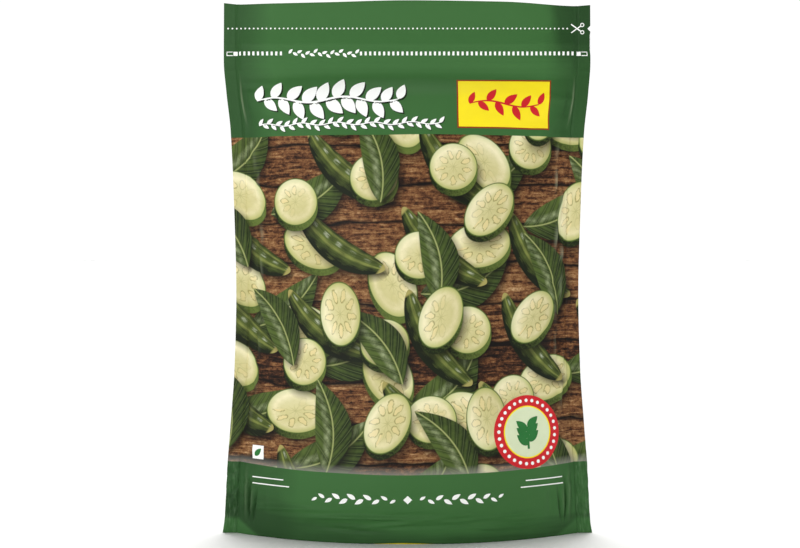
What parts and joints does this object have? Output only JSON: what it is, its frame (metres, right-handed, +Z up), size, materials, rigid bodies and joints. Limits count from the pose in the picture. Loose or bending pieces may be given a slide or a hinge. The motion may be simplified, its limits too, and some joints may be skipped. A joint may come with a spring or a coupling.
{
  "type": "resealable stand-up pouch",
  "caption": "Resealable stand-up pouch of printed film, with a press-to-close zip, a tear notch and a folded base gusset, filled with loose frozen cut gourds.",
  "frame": {"origin": "on the floor under the middle of the pouch", "axes": "+Z up, the printed front faces -Y, the tear notch is in the +X edge"},
  "size_m": [0.2, 0.0644, 0.288],
  "materials": {
    "printed_film": "satin laminated film, printed green",
    "gusset_film": "satin laminated film, plain yellow",
    "zip_plastic": "extruded milky polyethylene",
    "gourd_skin": "frozen dark green rind with paler streaks",
    "gourd_flesh": "frozen cut flesh, pale cream green"
  },
  "bodies": {
    "root": {"front_panel": "printed_film", "back_panel": "printed_film", "base_gusset": "gusset_film", "zip_rib_strip": "zip_plastic", "zip_groove_strip": "zip_plastic", "gourd_whole_01": "gourd_skin", "gourd_whole_02": "gourd_skin", "gourd_whole_03": "gourd_skin", "gourd_whole_04": "gourd_skin", "gourd_whole_05": "gourd_skin", "gourd_whole_06": "gourd_skin", "gourd_whole_07": "gourd_skin", "gourd_whole_08": "gourd_skin", "gourd_half_01": "gourd_flesh", "gourd_half_02": "gourd_flesh", "gourd_half_03": "gourd_flesh", "gourd_half_04": "gourd_flesh", "gourd_half_05": "gourd_flesh", "gourd_half_06": "gourd_flesh", "gourd_half_07": "gourd_flesh", "gourd_half_08": "gourd_flesh", "gourd_half_09": "gourd_flesh", "gourd_half_10": "gourd_flesh", "gourd_half_11": "gourd_flesh", "gourd_half_12": "gourd_flesh", "gourd_half_13": "gourd_flesh", "gourd_half_14": "gourd_flesh", "gourd_half_15": "gourd_flesh", "gourd_half_16": "gourd_flesh", "gourd_half_17": "gourd_flesh", "gourd_half_18": "gourd_flesh", "gourd_half_19": "gourd_flesh", "gourd_half_20": "gourd_flesh", "gourd_half_21": "gourd_flesh", "gourd_half_22": "gourd_flesh", "gourd_half_23": "gourd_flesh", "gourd_half_24": "gourd_flesh", "gourd_half_25": "gourd_flesh"}
  },
  "joints": []
}
